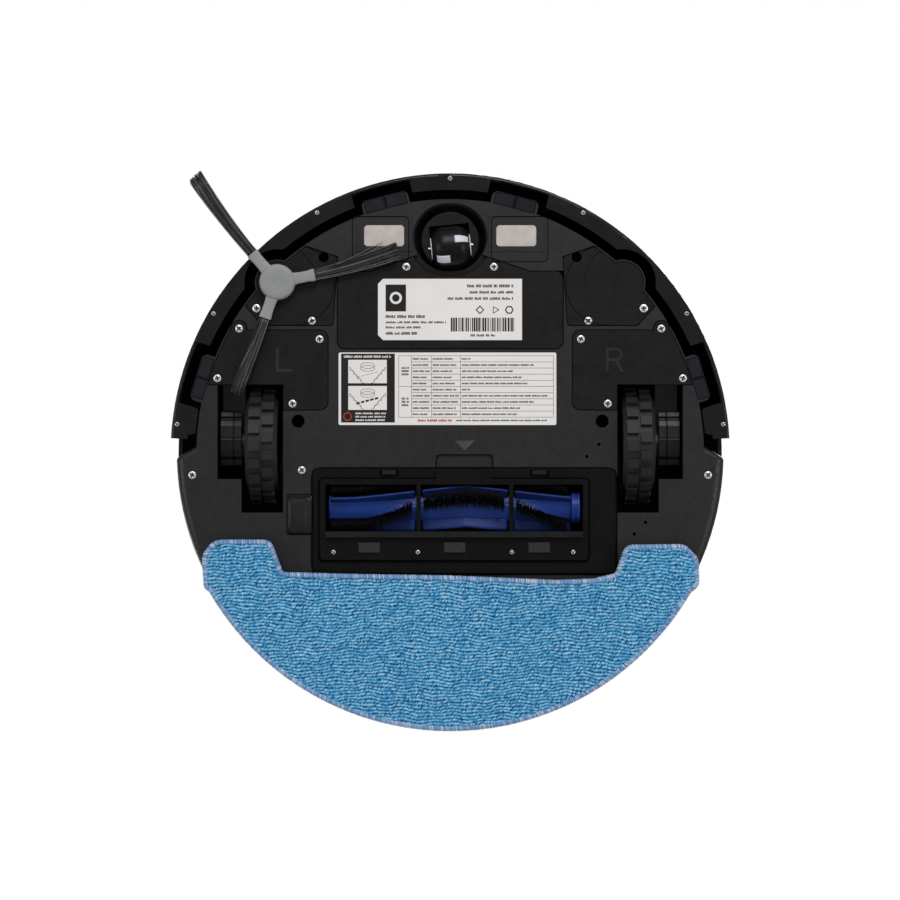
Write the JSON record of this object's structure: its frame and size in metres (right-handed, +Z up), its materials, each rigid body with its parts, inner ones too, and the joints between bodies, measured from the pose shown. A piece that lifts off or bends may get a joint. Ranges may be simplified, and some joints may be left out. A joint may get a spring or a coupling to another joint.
{
  "type": "robot vacuum",
  "caption": "Round robot vacuum on two sprung wheels and a caster, with a side brush, a guarded main brush, a rear dustbin and a mop cloth.",
  "frame": {"origin": "centre of the round body at floor level", "axes": "+Z up, the bumper faces -Y, the side brush is on the -X side"},
  "size_m": [0.33, 0.33, 0.0783],
  "materials": {
    "chassis_plastic": "satin black moulded plastic",
    "cover_plastic": "satin black moulded plastic",
    "gloss_panel": "polished black",
    "bumper_plastic": "satin black moulded plastic",
    "inner_plastic": "moulded",
    "gear_plastic": "moulded, slightly glossy",
    "bin_plastic": "smoked",
    "sensor_window": "polished infrared window",
    "screw_steel": "zinc plated",
    "contact_nickel": "nickel plated, fine brushed",
    "axle_copper": "copper plated",
    "label_paper": "coated paper",
    "board": "solder mask",
    "battery_wrap": "shrink wrap",
    "tyre_rubber": "matt rubber",
    "roller_plastic": "satin",
    "brush_grey": "satin grey",
    "bristle": "nylon filaments",
    "brush_blue": "moulded",
    "brush_blue_rubber": "soft rubber",
    "squeegee_rubber": "soft rubber",
    "pad_grey": "short pile",
    "filter_paper": "pleated",
    "mop_fabric": "looped microfibre with an overlocked edge"
  },
  "bodies": {
    "chassis": {"base_shell": "chassis_plastic", "top_cover": "cover_plastic", "top_panel": "gloss_panel", "side_brush_module_cover": "chassis_plastic", "blank_module_cover": "chassis_plastic", "left_module_cover": "chassis_plastic", "right_module_cover": "chassis_plastic", "chassis_screws": "screw_steel", "table_label": "label_paper", "left_charge_contact": "contact_nickel", "right_charge_contact": "contact_nickel", "cliff_sensor_windows": "sensor_window", "left_wheel_housing": "inner_plastic", "right_wheel_housing": "inner_plastic", "suspension_pins": "screw_steel", "suspension_springs": "screw_steel", "caster_socket": "chassis_plastic", "side_brush_gearmotor": "inner_plastic", "brush_module_frame": "chassis_plastic", "brush_motor_gearbox": "chassis_plastic", "fan_motor": "inner_plastic", "main_board": "board", "battery_pack": "battery_wrap"},
    "bumper": {"bumper": "bumper_plastic", "bumper_ir_window": "sensor_window", "bumper_screws": "screw_steel"},
    "battery_door": {"battery_door": "chassis_plastic", "battery_door_screws": "screw_steel", "rating_label": "label_paper"},
    "left_arm": {"left_drive_gearbox": "gear_plastic", "left_wheel_motor": "screw_steel"},
    "right_arm": {"right_drive_gearbox": "gear_plastic", "right_wheel_motor": "screw_steel"},
    "left_wheel": {"left_wheel_hub": "gear_plastic", "left_tyre": "tyre_rubber"},
    "right_wheel": {"right_wheel_hub": "gear_plastic", "right_tyre": "tyre_rubber"},
    "caster_swivel": {"caster_fork": "chassis_plastic", "caster_axle": "axle_copper"},
    "caster_roller": {"caster_wheel": "roller_plastic"},
    "side_brush": {"side_brush_hub": "brush_grey", "side_brush_bristles": "bristle"},
    "main_brush": {"main_brush_core": "brush_blue", "main_brush_end_cap": "brush_blue", "main_brush_vanes": "brush_blue_rubber", "main_brush_bristles": "bristle"},
    "brush_guard": {"brush_guard": "chassis_plastic", "guard_squeegee": "squeegee_rubber", "guard_pads": "pad_grey", "guard_screws": "screw_steel"},
    "dustbin": {"dustbin": "bin_plastic", "dustbin_lid": "bin_plastic", "dustbin_filter": "filter_paper"},
    "bin_release": {"bin_release_button": "cover_plastic"},
    "mop": {"mop_plate": "chassis_plastic", "mop_cloth": "mop_fabric"},
    "power_button": {"power_button": "gloss_panel"},
    "home_button": {"home_button": "gloss_panel"}
  },
  "joints": [
    {"name": "bumper_press", "type": "slide", "parent": "chassis", "child": "bumper", "axis": [0, 1, 0], "range_m": [0, 0.003], "stiffness_N_per_m": 600, "springref_m": -0.002},
    {"name": "left_suspension", "type": "hinge", "parent": "chassis", "child": "left_arm", "pos_m": [-0.128, -0.046, 0.025], "axis": [-1, 0, 0], "range_deg": [0, 26.8], "stiffness_Nm_per_rad": 0.17, "springref_deg": 67.61},
    {"name": "left_wheel_spin", "type": "hinge", "parent": "left_arm", "child": "left_wheel", "pos_m": [-0.1111, -0.004, 0.035], "axis": [1, 0, 0], "continuous": true},
    {"name": "right_suspension", "type": "hinge", "parent": "chassis", "child": "right_arm", "pos_m": [0.128, -0.046, 0.025], "axis": [-1, 0, 0], "range_deg": [0, 26.8], "stiffness_Nm_per_rad": 0.17, "springref_deg": 67.61},
    {"name": "right_wheel_spin", "type": "hinge", "parent": "right_arm", "child": "right_wheel", "pos_m": [0.1111, -0.004, 0.035], "axis": [1, 0, 0], "continuous": true},
    {"name": "caster_swivel", "type": "hinge", "parent": "chassis", "child": "caster_swivel", "pos_m": [0, -0.1252, 0.03], "axis": [0, 0, 1], "continuous": true},
    {"name": "caster_roll", "type": "hinge", "parent": "caster_swivel", "child": "caster_roller", "pos_m": [0.00038, -0.12132, 0.0122], "axis": [0.9952, -0.0976, 0], "continuous": true},
    {"name": "side_brush_spin", "type": "hinge", "parent": "chassis", "child": "side_brush", "pos_m": [-0.1015, -0.1003, 0.007], "axis": [0, 0, 1], "continuous": true},
    {"name": "main_brush_spin", "type": "hinge", "parent": "chassis", "child": "main_brush", "pos_m": [0, 0.0324, 0.0165], "axis": [1, 0, 0], "continuous": true},
    {"name": "brush_guard_removal", "type": "slide", "parent": "chassis", "child": "brush_guard", "axis": [0, 0, -1], "range_m": [0, 0.04]},
    {"name": "battery_door_removal", "type": "slide", "parent": "chassis", "child": "battery_door", "axis": [0, 0, -1], "range_m": [0, 0.04], "deforming": ["side_brush_bristles"]},
    {"name": "dustbin_removal", "type": "slide", "parent": "chassis", "child": "dustbin", "axis": [0, 1, 0], "range_m": [0, 0.09]},
    {"name": "bin_release_press", "type": "slide", "parent": "dustbin", "child": "bin_release", "axis": [0, -1, 0], "range_m": [0, 0.002], "stiffness_N_per_m": 400, "springref_m": -0.001},
    {"name": "mop_removal", "type": "slide", "parent": "chassis", "child": "mop", "axis": [0, 1, 0], "range_m": [0, 0.115]},
    {"name": "power_button_press", "type": "slide", "parent": "chassis", "child": "power_button", "axis": [0, 0, -1], "range_m": [0, 0.0008], "stiffness_N_per_m": 400, "springref_m": -0.0012},
    {"name": "home_button_press", "type": "slide", "parent": "chassis", "child": "home_button", "axis": [0, 0, -1], "range_m": [0, 0.0008], "stiffness_N_per_m": 400, "springref_m": -0.0012}
  ]
}
